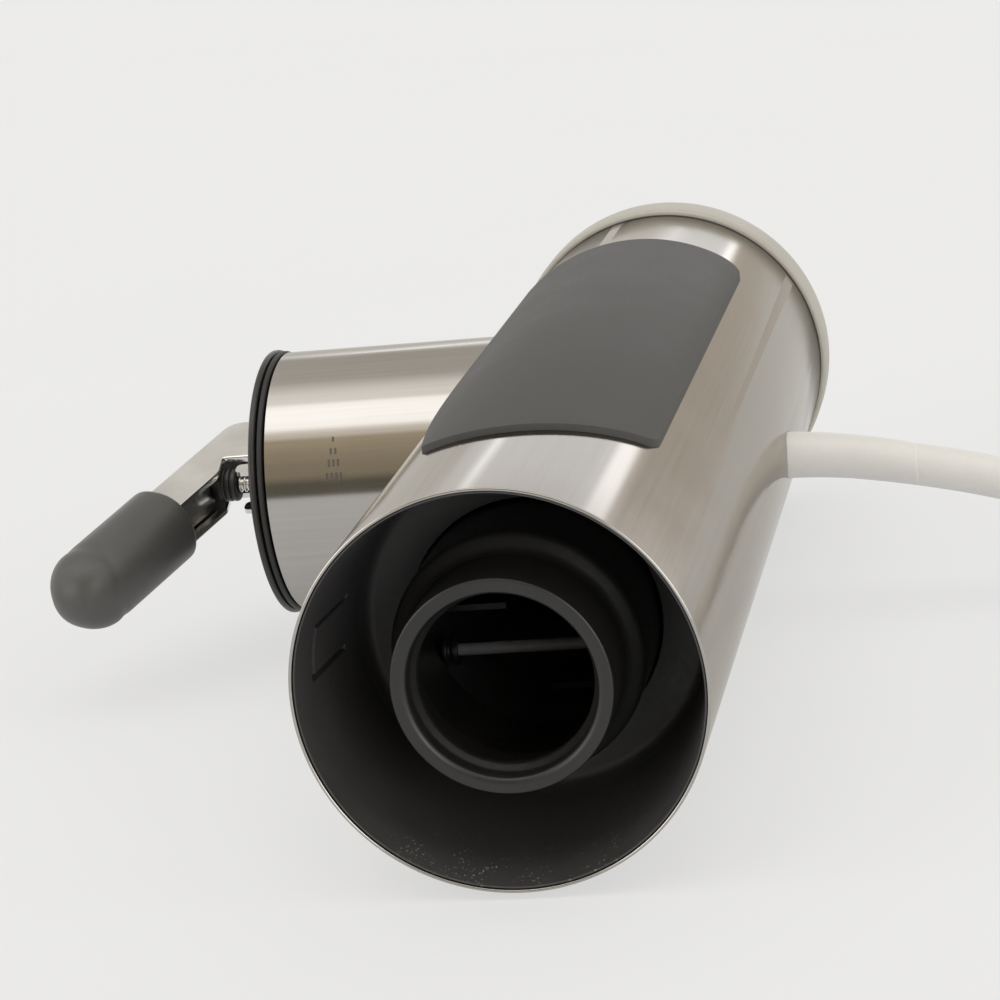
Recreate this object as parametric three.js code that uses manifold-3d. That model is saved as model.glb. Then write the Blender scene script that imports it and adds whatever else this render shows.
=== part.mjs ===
// Rotary cheese grater: a steel barrel with a side feed tube, a press lever, a motor-driven
// grating drum and a mains cord. Millimetres, +Z up, the barrel lies along Y.
import * as THREE from 'three';
import Module from 'manifold-3d';
import { mergeVertices } from 'three/addons/utils/BufferGeometryUtils.js';

const wasm = await Module();
wasm.setup();

// ---------- driving dimensions ----------
const GAP = 0.3;                 // space left between pieces that touch
const SHEET = 0.5;               // wall of the steel tubes
const BARREL_RADIUS = 31;
const BARREL_LENGTH = 200;       // front rim at y = 0
const CAP_RADIUS = 32.1;
const CAP_END = 212.5;           // flat back face of the end cap
const SIDE_Y = 128;              // where the side tube's axis crosses the barrel's axis
const SIDE_RADIUS = 24;
const SIDE_REACH = 61;           // from the barrel's axis to the steel end of the side tube
const LID_FACE = SIDE_REACH + 2.9;
const DRUM_RADIUS = 19.5;
const DRUM_FRONT = 99;
const DRUM_BACK = 155;
const SHAFT_RADIUS = 4;
const GEAR_MODULE = 0.8;
const SMALL_TEETH = 10;
const LARGE_TEETH = 30;
const GEAR_DISTANCE = GEAR_MODULE * (SMALL_TEETH + LARGE_TEETH) / 2;
const MOTOR_RADIUS = 17.5;
const ROD_RADIUS = 1.5;          // rod of the pusher
const LEVER_ROLL = THREE.MathUtils.degToRad(16);   // the lever's plane about the side axis
const LEVER_BEND = THREE.MathUtils.degToRad(66.2); // bend between the lever's head and its arm
const LEVER_HEIGHT = 9.3;
const LEVER_SHEET = 1.2;
const ARM_WIDTH = 8.9;
const ARM_LENGTH = 50;
const GRIP_START = 28.9;         // along the arm, from the outer corner of the bend
const GRIP_RADIUS = 7.6;
const GRIP_LENGTH = 29.6;
const FULCRUM = [4.6, -7];       // lever pin in the lever's own plane
const CORD_RADIUS = 3.8;
const FLOOR = -CAP_RADIUS;
const COIL_CENTRE = [178, 175];
const COIL_RADIUS = 42;          // middle of the coil's turns
const FINE_ROUND = 56;           // segments of the steel tubes
const ROUND = 32;                // segments of a large round piece
const SMALL_ROUND = 16;

const root = new THREE.Group();
root.position.y = -CAP_END;      // the origin is the centre of the end cap's flat back face

// ---------- materials ----------
const material = (color, roughness, metalness) =>
  new THREE.MeshStandardMaterial({ color, roughness, metalness });
const steel = () => material(0xb9b6b0, 0.3, 1);
const brightSteel = () => material(0xc9c8c4, 0.18, 1);
const blackPlastic = () => material(0x1c1b1d, 0.5, 0);
const rubber = () => material(0x4b4a48, 0.75, 0);
const ivory = () => material(0xd8d0c4, 0.45, 0);
const brass = () => material(0xb59a5a, 0.35, 1);
const greyPlastic = () => material(0x77777a, 0.5, 0);

// ---------- solids ----------
function closed(geometry) {
  geometry.deleteAttribute('normal');
  geometry.deleteAttribute('uv');
  const merged = mergeVertices(geometry, 1e-4);
  const index = merged.getIndex().array;
  const p = merged.getAttribute('position');
  const kept = [];
  let volume = 0;
  const [a, b, c] = [new THREE.Vector3(), new THREE.Vector3(), new THREE.Vector3()];
  for (let i = 0; i < index.length; i += 3) {
    const [i0, i1, i2] = [index[i], index[i + 1], index[i + 2]];
    if (i0 === i1 || i1 === i2 || i2 === i0) continue;
    kept.push(i0, i1, i2);
    a.fromBufferAttribute(p, i0);
    b.fromBufferAttribute(p, i1);
    c.fromBufferAttribute(p, i2);
    volume += a.dot(b.cross(c));
  }
  if (volume < 0) {
    for (let i = 0; i < kept.length; i += 3) [kept[i], kept[i + 1]] = [kept[i + 1], kept[i]];
  }
  merged.setIndex(kept);
  return merged;
}

function solid(geometry) {
  const g = closed(geometry);
  return new wasm.Manifold(new wasm.Mesh({
    numProp: 3,
    vertProperties: new Float32Array(g.getAttribute('position').array),
    triVerts: new Uint32Array(g.getIndex().array),
  }));
}

function geometryOf(manifold) {
  const mesh = manifold.getMesh();
  const g = new THREE.BufferGeometry();
  g.setAttribute('position', new THREE.BufferAttribute(new Float32Array(mesh.vertProperties), 3));
  g.setIndex(new THREE.BufferAttribute(new Uint32Array(mesh.triVerts), 1));
  return g;
}

// A closed profile of [radius, y] points turned about the Y axis.
function turned(profile, segments = ROUND) {
  const points = [...profile, profile[0]].map(([r, y]) => new THREE.Vector2(r, y));
  return new THREE.LatheGeometry(points, segments);
}

const ring = (inner, outer, from, to, segments = ROUND) =>
  turned([[inner, from], [outer, from], [outer, to], [inner, to]], segments);
const rod = (radius, from, to, segments = SMALL_ROUND) =>
  turned([[0, from], [radius, from], [radius, to], [0, to]], segments);

// Turns a piece made about Y so that it points along -X, and puts it on the side axis.
const alongSide = (geometry) => geometry.rotateZ(Math.PI / 2).translate(0, SIDE_Y, 0);

const box = (x, y, z) => {
  const g = new THREE.BoxGeometry(x[1] - x[0], y[1] - y[0], z[1] - z[0]);
  return g.translate((x[0] + x[1]) / 2, (y[0] + y[1]) / 2, (z[0] + z[1]) / 2);
};

const outline = (points) => new THREE.Shape(points.map(([x, y]) => new THREE.Vector2(x, y)));
const extruded = (shape, from, to) =>
  new THREE.ExtrudeGeometry(shape, { depth: to - from, bevelEnabled: false, curveSegments: 8 })
    .translate(0, 0, from);
// Shape in the XZ plane, extruded along Y.
const plateAlongY = (shape, from, to) =>
  extruded(shape, 0, to - from).rotateX(Math.PI / 2).translate(0, to, 0);

function add(name, shape, surface, parent = root) {
  const geometry = shape instanceof THREE.BufferGeometry ? closed(shape) : geometryOf(shape);
  const mesh = new THREE.Mesh(geometry, surface);
  mesh.name = name;
  parent.add(mesh);
  return mesh;
}

// ---------- barrel and what it holds at its mouth ----------
function barrel() {
  const window = solid(alongSide(rod(SIDE_RADIUS - SHEET, 5, 40, ROUND)));
  const cordHole = solid(alongSide(rod(7.3, -40, -10, 24)).translate(0, 0, -1.5));
  const tube = solid(ring(BARREL_RADIUS - SHEET, BARREL_RADIUS, 0, BARREL_LENGTH, FINE_ROUND));
  add('barrel_tube', tube.subtract(window).subtract(cordHole), steel());

  const linerOut = BARREL_RADIUS - SHEET - GAP;
  const linerIn = 29;
  const floorEdge = 27.4;        // the wall narrows towards the floor
  const floorAt = 34;
  add('front_liner', turned([
    [linerIn, 0.5], [linerOut, 0.5], [linerOut, floorAt + 2.3], [19.8, floorAt + 2.3],
    [19.8, floorAt], [floorEdge, floorAt],
  ]), blackPlastic());

  add('outlet_collar', turned([
    [14.1, 3], [16.6, 3], [16.6, 15.5], [19.4, 17], [19.4, floorAt + 2.3],
    [17.4, floorAt + 2.3], [17.4, 18.6], [15.2, 16.6], [15.2, 8.6], [13.2, 8], [13.2, 6.8],
    [14.1, 5.6],
  ]), blackPlastic());
  add('outlet_duct', ring(20.6, 22.4, floorAt + 2.6, DRUM_FRONT - 6.3), blackPlastic());
}

// ---------- rod and guides that are seen through the collar ----------
function outletFittings() {
  const at = [0, 42, -6.7];
  add('cross_rod', rod(1, -16.8, 16.8, 12).rotateZ(Math.PI / 2).translate(...at), brightSteel());
  for (const [side, name] of [[-1, 'rod_bush_left'], [1, 'rod_bush_right']]) {
    const bush = ring(1 + GAP, 2.4, 14.4, 16.8, 16).rotateZ(-side * Math.PI / 2);
    add(name, bush.translate(...at), greyPlastic());
  }
  add('guide_plate_left', box([-18.4, -7], [46, 56], [-1.6, -0.6]), greyPlastic());
  add('guide_plate_right', box([-1, 11], [45, 52], [-15.2, -14.2]), greyPlastic());
}

// ---------- drum, its chamber and its drive ----------
function gearShape(teeth, boreRadius, phase) {
  const radius = GEAR_MODULE * teeth / 2;
  const pitch = 2 * Math.PI / teeth;
  const steps = [[-0.27, -1.1], [-0.11, 0.8], [0.11, 0.8], [0.27, -1.1]];
  const points = [];
  for (let i = 0; i < teeth; i += 1) {
    for (const [turn, height] of steps) {
      const angle = phase + (i + turn) * pitch;
      const r = radius + height * GEAR_MODULE;
      points.push([r * Math.cos(angle), r * Math.sin(angle)]);
    }
  }
  const shape = outline(points);
  shape.holes.push(new THREE.Path().absarc(0, 0, boreRadius, 0, 2 * Math.PI, true));
  return shape;
}

function drum() {
  let shell = solid(ring(DRUM_RADIUS - SHEET, DRUM_RADIUS, DRUM_FRONT, DRUM_BACK));
  const rows = 5;
  const around = 12;
  for (let row = 0; row < rows; row += 1) {
    for (let i = 0; i < around; i += 1) {
      const hole = new THREE.CylinderGeometry(2.4, 2.4, 6, 5).translate(0, DRUM_RADIUS, 0);
      hole.rotateX(Math.PI / 2);
      hole.rotateY((i + row / 2) * 2 * Math.PI / around);
      hole.translate(0, DRUM_FRONT + 7 + row * 9.5, 0);
      shell = shell.subtract(solid(hole));
    }
  }
  add('grating_drum', shell, steel());
  add('drum_hub', turned([
    [SHAFT_RADIUS + GAP, 150.8], [DRUM_RADIUS - SHEET - GAP, 150.8],
    [DRUM_RADIUS - SHEET - GAP, 153.4], [8, 153.4], [8, 156.4], [SHAFT_RADIUS + GAP, 156.4],
  ]), blackPlastic());
  add('drive_shaft', rod(SHAFT_RADIUS, 143.5, 165.3), brightSteel());
  const nut = outline([0, 1, 2, 3, 4, 5].map((i) =>
    [7 * Math.cos(i * Math.PI / 3), 7 * Math.sin(i * Math.PI / 3)]));
  nut.holes.push(new THREE.Path().absarc(0, 0, SHAFT_RADIUS + GAP, 0, 2 * Math.PI, true));
  add('drum_nut', plateAlongY(nut, 146.5, 150.5), brass());

  const feedWindow = solid(alongSide(rod(SIDE_RADIUS - 2.7, 2, 40, ROUND)));
  const chamber = solid(ring(21.5, 23.5, DRUM_FRONT - 6, DRUM_BACK + 2.5));
  add('drum_chamber', chamber.subtract(feedWindow), blackPlastic());
}

function gearbox() {
  const plateRadius = BARREL_RADIUS - SHEET - GAP;
  const idlerAt = [0, 0, GEAR_DISTANCE];
  const pinHole = () => solid(rod(1.8, 150, 180).translate(...idlerAt));
  const screwSpots = [[-8, -4], [8, -4]];

  const frontPlate = solid(ring(6.5, plateRadius, 158, 160.5));
  add('front_bearing_plate', frontPlate.subtract(pinHole()), greyPlastic());
  add('shaft_bush', ring(SHAFT_RADIUS + GAP, 6.2, 157.9, 161, 24), brass());

  add('output_gear', plateAlongY(
    gearShape(LARGE_TEETH, SHAFT_RADIUS + GAP, Math.PI / 2), 161.6, 165), brass());
  add('idler_pin', rod(1.5, 158.4, 172).translate(...idlerAt), brightSteel());
  const small = Math.PI * 1.5 + Math.PI / SMALL_TEETH;
  const large = Math.PI * 1.5 + Math.PI / LARGE_TEETH;
  const idler = solid(plateAlongY(gearShape(SMALL_TEETH, 1.8, small), 161.8, 166.5))
    .add(solid(plateAlongY(gearShape(LARGE_TEETH, 1.8, large), 166.2, 169.2)));
  add('idler_gear', idler.translate(...idlerAt), greyPlastic());

  let rearPlate = solid(ring(3, plateRadius, 170, 172.5)).subtract(pinHole());
  let can = solid(turned([
    [1.9, 172.8], [6, 172.8], [MOTOR_RADIUS, 172.8], [MOTOR_RADIUS, 200], [15.5, 202.5],
    [0, 202.5], [0, 180], [1.9, 180],
  ])).subtract(solid(rod(2.2, 150, 174).translate(...idlerAt)));
  screwSpots.forEach(([x, z], i) => {
    const hole = () => solid(rod(1.6, 165, 178, 12).translate(x, 0, z));
    rearPlate = rearPlate.subtract(hole());
    can = can.subtract(hole());
    const screw = turned([
      [0, 167.9], [1.9, 167.9], [2.5, 168.6], [2.5, 169.7], [1.2, 169.7], [1.2, 177], [0, 177],
    ], 16);
    add(`motor_screw_${i + 1}`, screw.translate(x, 0, z), brightSteel());
  });
  add('rear_gear_plate', rearPlate, greyPlastic());
  add('motor_can', can, steel());
  add('motor_shaft', rod(1.6, 165.9, 179.5), brightSteel());
  add('motor_pinion', plateAlongY(gearShape(SMALL_TEETH, 1.9, Math.PI / 2), 166.2, 169.4), brass());
  add('motor_mount_ring', ring(MOTOR_RADIUS + GAP, plateRadius, 178, 184), rubber());
}

// ---------- side tube, lid and pusher ----------
function sideTube() {
  const tube = solid(alongSide(ring(SIDE_RADIUS - SHEET, SIDE_RADIUS, 21, SIDE_REACH, FINE_ROUND)));
  const barrelSpace = solid(rod(BARREL_RADIUS + GAP, 60, 200, FINE_ROUND));
  add('side_tube', tube.subtract(barrelSpace), steel());
  const liner = solid(alongSide(ring(SIDE_RADIUS - 2.7, SIDE_RADIUS - 1.1, 4, SIDE_REACH - 0.1)));
  const chamberSpace = solid(rod(23.5 + GAP, 60, 200, ROUND));
  add('hopper_liner', liner.subtract(chamberSpace), blackPlastic());

  add('side_gasket', alongSide(ring(19, SIDE_RADIUS + 0.3, SIDE_REACH + GAP, 62.3)), rubber());
  add('side_lid', alongSide(turned([
    [2.3, 62.6], [17.2, 62.6], [17.2, 56], [18.7, 56], [18.7, 62.6], [SIDE_RADIUS + 0.6, 62.6],
    [SIDE_RADIUS + 0.6, LID_FACE], [2.3, LID_FACE],
  ])), blackPlastic());

  const head = solid(alongSide(turned([
    [ROD_RADIUS + GAP, 16], [20.6, 16], [20.6, 47], [17, 47], [17, 41], [5, 41], [5, 47],
    [ROD_RADIUS + GAP, 47],
  ])));
  const hollowFace = solid(rod(DRUM_RADIUS + 1.5, 60, 200, ROUND).translate(-15.5, 0, 0));
  const drumSide = solid(box([-20, 20], [60, 200], [-30, 30]));
  add('pusher', head.subtract(hollowFace).subtract(drumSide), ivory());
  add('pusher_rod', alongSide(rod(ROD_RADIUS, 38, LID_FACE + 8.2, 16)), brightSteel());
  add('rod_nut', alongSide(ring(ROD_RADIUS + GAP, 4, 47.3, 50, 6)), brightSteel());
}

// ---------- press lever ----------
function lever() {
  // Lever frame: x away from the barrel, y towards the front of the barrel, z across the sheet.
  const tilt = new THREE.Group();
  tilt.position.set(-LID_FACE, SIDE_Y, 0);
  tilt.rotation.x = LEVER_ROLL;
  const frame = new THREE.Group();
  frame.rotation.z = Math.PI;
  tilt.add(frame);
  root.add(tilt);

  const along = new THREE.Vector2(Math.cos(LEVER_BEND), Math.sin(LEVER_BEND));
  const inward = new THREE.Vector2(-along.y, along.x);
  const corner = new THREE.Vector2(12.85, -15.65);
  const onArm = (distance, depth) => {
    const p = corner.clone().addScaledVector(along, distance).addScaledVector(inward, depth);
    return [p.x, p.y];
  };
  const half = LEVER_HEIGHT / 2;
  const headStart = 3.6;         // the head's end, clear of the lid at both ends of the swing
  const bendStart = new THREE.Vector2(corner.x - 3, corner.y);
  const bendEnd = onArm(3, 0);
  const side = new THREE.Shape();
  side.moveTo(headStart, corner.y);
  side.lineTo(bendStart.x, bendStart.y);
  side.quadraticCurveTo(corner.x, corner.y, ...bendEnd);
  side.lineTo(...onArm(ARM_LENGTH, 0));
  side.lineTo(...onArm(ARM_LENGTH, ARM_WIDTH));
  side.lineTo(...onArm(16.2, ARM_WIDTH));
  side.lineTo(11.6, -2.4);
  side.lineTo(headStart, -2.4);
  const pocketCorner = [12, corner.y + LEVER_SHEET];
  const pocket = outline([
    [-5, corner.y + LEVER_SHEET], [pocketCorner[0] - 2.4, pocketCorner[1]],
    onArm(2.6, LEVER_SHEET), onArm(ARM_LENGTH + 5, LEVER_SHEET), onArm(ARM_LENGTH + 5, 30),
    [-5, 40],
  ]);
  const pinHole = solid(rod(1.5 + GAP, -20, 20, 16).rotateX(Math.PI / 2)
    .translate(...FULCRUM, 0));
  const channel = solid(extruded(side, -half, half))
    .subtract(solid(extruded(pocket, -half + LEVER_SHEET, half - LEVER_SHEET)))
    .subtract(pinHole);
  add('lever_channel', channel, brightSteel(), frame);

  const earHeight = half - LEVER_SHEET - GAP;
  const [guideIn, guideOut] = [half - 1, half - 0.1];
  const yoke = solid(box([0.3, 2.3], [-11.5, 4], [-earHeight, earHeight]))
    .add(solid(box([0.3, 2.3], [0.4, 3.4], [-guideOut, guideOut])))
    .add(solid(box([2, 8.1], [0.4, 3.4], [-guideOut, -guideIn])))
    .add(solid(box([2, 8.1], [0.4, 3.4], [guideIn, guideOut])))
    .add(solid(box([2, 8], [-10, -4], [-earHeight, -earHeight + 1])))
    .add(solid(box([2, 8], [-10, -4], [earHeight - 1, earHeight])))
    .subtract(pinHole)
    .subtract(solid(rod(ROD_RADIUS + 0.5, -5, 10, 16).rotateZ(Math.PI / 2)));
  add('lever_yoke', yoke, brightSteel(), frame);

  const pin = turned([
    [0, -half - 0.9], [2.4, -half - 0.9], [2.4, -half - GAP], [1.5, -half - GAP],
    [1.5, half + GAP], [2.4, half + GAP], [2.4, half + 0.9], [0, half + 0.9],
  ], 16).rotateX(Math.PI / 2);
  add('lever_pin', pin.translate(...FULCRUM, 0), brightSteel(), frame);

  const stiffener = outline([onArm(18, 6.1), onArm(31, 6.1), onArm(31, 7), onArm(18, 7)]);
  add('lever_stiffener', extruded(stiffener, -1.6, 1.2), brightSteel(), frame);

  add('rod_head', rod(3.1, 8.8, 12.2, 20).rotateZ(-Math.PI / 2), blackPlastic(), frame);

  const straight = GRIP_LENGTH - GRIP_RADIUS;
  const profile = [[0, 0], [GRIP_RADIUS - 0.6, 0], [GRIP_RADIUS, 0.6], [GRIP_RADIUS, straight]];
  const steps = 6;
  for (let i = 1; i <= steps; i += 1) {
    const angle = i * Math.PI / 2 / steps;
    profile.push([GRIP_RADIUS * Math.cos(angle), straight + GRIP_RADIUS * Math.sin(angle)]);
  }
  profile[profile.length - 1][0] = 0;
  const sleeve = solid(turned(profile, 28));
  const socketDepth = ARM_LENGTH - GRIP_START + 0.5;
  const socket = solid(box([-ARM_WIDTH / 2 - GAP, ARM_WIDTH / 2 + GAP], [-1, socketDepth],
    [-half - GAP, half + GAP]));
  const grip = geometryOf(sleeve.subtract(socket)).rotateZ(LEVER_BEND - Math.PI / 2)
    .translate(...onArm(GRIP_START, ARM_WIDTH / 2), 0);
  add('lever_grip', grip, rubber(), frame);
}

// ---------- outer soft and moulded pieces ----------
function gripPad() {
  // Right side straight, left side bowed, front edge bowed towards the mouth.
  const [left, right, back, corner] = [-21, 20.4, 171.5, 5.5];
  const plan = new THREE.Shape();
  plan.moveTo(-15, 36);
  plan.quadraticCurveTo(-1, 22, right - 1.5, 40);
  plan.quadraticCurveTo(right, 41, right, 43);
  plan.lineTo(right, back - corner);
  plan.quadraticCurveTo(right, back, right - corner, back);
  plan.lineTo(left + corner, back);
  plan.quadraticCurveTo(left, back, left, back - corner);
  plan.lineTo(left, 100);
  plan.quadraticCurveTo(left, 70, -15, 36);
  const skin = solid(ring(BARREL_RADIUS + GAP, BARREL_RADIUS + 1.4, 10, 190, FINE_ROUND));
  add('grip_pad', skin.intersect(solid(extruded(plan, 15, 40))), rubber());
}

function endCap() {
  const inner = BARREL_RADIUS - SHEET - GAP;
  add('cap_seal', ring(28, BARREL_RADIUS + 0.1, BARREL_LENGTH + GAP, 200.9), rubber());
  add('end_cap', turned([
    [0, 209.5], [27.2, 209.5], [27.2, 194], [inner - 2.4, 194], [inner - 2.4, 193],
    [27.6, 193], [27.6, 201.2], [CAP_RADIUS - 0.5, 201.2], [CAP_RADIUS, 202],
    [CAP_RADIUS, 209.6], [CAP_RADIUS - 0.9, 211.6], [CAP_RADIUS - 2.9, CAP_END], [0, CAP_END],
  ]), ivory());
}

// ---------- electric pieces and the cord ----------
const cordRoute = [
  [30.5, 128, -1.5], [36, 128, -1.9], [45, 128, -3.2], [56, 128, -5.3], [68, 128, -8.3],
  [82, 128, -13], [96, 128, -18.4], [110, 128.3, -23.6], [124, 129.4, -27], [136, 131, -28.3],
  [145, 131.8, -28.3],
];
const tailRoute = [
  [151, 221, -22.4], [146.5, 221, -23.8], [142, 221, -24.9], [137.2, 221, -25.2],
];

function tubeAlong(points) {
  const path = new THREE.CatmullRomCurve3(points.map((p) => new THREE.Vector3(...p)));
  const section = new THREE.Shape().absarc(0, 0, CORD_RADIUS, 0, 2 * Math.PI, false);
  const steps = Math.ceil(path.getLength() / (5 * CORD_RADIUS));
  return new THREE.ExtrudeGeometry(section, {
    extrudePath: path, steps: Math.max(steps, 3), curveSegments: 5, bevelEnabled: false,
  });
}

function electrics() {
  const gland = turned([
    [4.1, 26], [9, 26], [9, 27.5], [6.9, 27.5], [6.9, 31.2], [5, 31.8], [4.7, 33.2],
    [4.1, 33.2],
  ], 24).rotateZ(-Math.PI / 2).translate(0, SIDE_Y, -1.5);
  add('cord_gland', gland, ivory());
  add('terminal_block', box([24.2, 28.4], [141, 153], [-6, 6]), ivory());
  add('power_switch', box([-6, 6], [97, 113], [24.2, 28.6]), greyPlastic());

  add('cord', tubeAlong(cordRoute), ivory());
  const coil = ring(COIL_RADIUS - 2 * CORD_RADIUS, COIL_RADIUS + 2 * CORD_RADIUS,
    FLOOR, FLOOR + 4 * CORD_RADIUS, 40).rotateX(Math.PI / 2);
  add('cord_coil', coil.translate(...COIL_CENTRE, 0), ivory());
  add('cord_tail', tubeAlong(tailRoute), ivory());

  const plugHalf = 17.6;
  const plugShape = outline([
    [-plugHalf, -3], [-12.5, -6.9], [12.5, -6.9], [plugHalf, -3], [plugHalf, 3],
    [12.5, 6.9], [-12.5, 6.9], [-plugHalf, 3],
  ]);
  const plugAt = [136.3, 221, FLOOR + 6.9];
  const body = extruded(plugShape, 0, 22).rotateX(Math.PI / 2).rotateZ(-Math.PI / 2);
  const neck = rod(6, -4, 14, 20).rotateZ(Math.PI / 2);
  const moulded = solid(body.translate(-13, 0, 0)).add(solid(neck.translate(-4, 0, 0)));
  add('plug_body', moulded.translate(...plugAt), ivory());
  for (const [side, name] of [[-1, 'plug_pin_front'], [1, 'plug_pin_back']]) {
    const pin = turned([[0, 0], [2, 0], [2, 17], [1.2, 18.4], [0, 19]], 12);
    add(name, pin.rotateZ(Math.PI / 2).translate(plugAt[0] - 35.3, plugAt[1] + side * 9.5,
      plugAt[2]), brass());
  }
}

barrel();
outletFittings();
drum();
gearbox();
sideTube();
lever();
gripPad();
endCap();
electrics();

export default root;
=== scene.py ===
"""Looks of the rotary cheese grater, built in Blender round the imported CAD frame.

Sizes are millimetres in the drawing frame, whose y is 0 at the barrel's front rim and grows
towards the end cap. in_frame() turns them into the metres of the row frame.
"""

import math

import bmesh
import bpy
from mathutils import Matrix, Vector


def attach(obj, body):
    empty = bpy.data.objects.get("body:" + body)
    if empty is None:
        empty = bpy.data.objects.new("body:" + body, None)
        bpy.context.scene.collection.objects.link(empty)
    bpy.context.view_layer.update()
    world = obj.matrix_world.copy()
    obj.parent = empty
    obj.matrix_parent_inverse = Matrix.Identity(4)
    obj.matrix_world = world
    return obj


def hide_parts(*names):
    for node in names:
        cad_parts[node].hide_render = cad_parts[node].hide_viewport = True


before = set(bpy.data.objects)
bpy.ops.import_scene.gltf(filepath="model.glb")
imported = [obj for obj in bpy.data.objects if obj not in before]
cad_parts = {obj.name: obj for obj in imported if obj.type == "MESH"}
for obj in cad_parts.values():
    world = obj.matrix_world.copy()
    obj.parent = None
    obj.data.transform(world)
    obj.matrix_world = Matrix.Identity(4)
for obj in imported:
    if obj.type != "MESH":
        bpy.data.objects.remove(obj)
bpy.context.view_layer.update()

# ---------- driving dimensions ----------
MM = 0.001
CAP_END = 212.5                  # from the front rim to the end cap's flat back face
BARREL_RADIUS = 31.0
BARREL_LENGTH = 200.0
SHEET = 0.5
LINER_OUT = BARREL_RADIUS - SHEET - 0.3
LINER_IN = 29.0
FLOOR_EDGE = 27.4                # the liner narrows towards its floor
FLOOR_AT = 34.0                  # the liner's floor, seen through the mouth
CAP_RADIUS = 32.1
SIDE_Y = 128.0
SIDE_RADIUS = 24.0
SIDE_REACH = 61.0
LID_FACE = 63.9
DRUM_RADIUS = 19.5
DRUM_FRONT = 99.0
DRUM_BACK = 155.0
LEVER_ROLL = math.radians(16)
LEVER_BEND = math.radians(66.2)
LEVER_HEIGHT = 9.3
LEVER_SHEET = 1.2
ARM_WIDTH = 8.9
ARM_LENGTH = 50.0
GRIP_START = 28.9
GRIP_RADIUS = 7.6
GRIP_LENGTH = 29.6
FULCRUM = (4.6, -7.0)
CORD_RADIUS = 3.8
TABLE = -CAP_RADIUS              # height of the surface that the object lies on
COIL_CENTRE = (178.0, 175.0)
COIL_RADIUS = 42.0
FINE = 160                       # segments round a large piece
COARSE = 96                      # and round a large piece inside the barrel
MEDIUM = 64
SMALL = 32
SHARP_ANGLE = 32                 # degrees between faces that meet in an edge, not in a round


def in_frame(point):
    """A point of the drawing frame, in the metres of the row frame."""
    x, y, z = point
    return Vector((x, y - CAP_END, z)) * MM


# ---------- camera ----------
CAMERA_ANGLES = (12.02, 15.13, -6.96)      # azimuth, elevation and roll in degrees
CAMERA_PLACE = (92.1, -414.2, 143.5)
CAMERA_LENS = 111.6                        # on a sensor 36 mm wide


def add_camera():
    """A long lens, looking down on the open mouth from its right."""
    azimuth, elevation, roll = (math.radians(angle) for angle in CAMERA_ANGLES)
    back = Vector((
        math.sin(azimuth) * math.cos(elevation),
        -math.cos(azimuth) * math.cos(elevation),
        math.sin(elevation),
    ))
    level = Vector((math.cos(azimuth), math.sin(azimuth), 0))
    upright = back.cross(level)
    right = level * math.cos(roll) + upright * math.sin(roll)
    data = bpy.data.cameras.new("camera")
    data.sensor_width = 36
    data.lens = CAMERA_LENS
    camera = bpy.data.objects.new("camera", data)
    bpy.context.scene.collection.objects.link(camera)
    turn = Matrix((right, back.cross(right), back)).transposed().to_4x4()
    camera.matrix_world = Matrix.Translation(in_frame(CAMERA_PLACE)) @ turn
    bpy.context.scene.camera = camera


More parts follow.
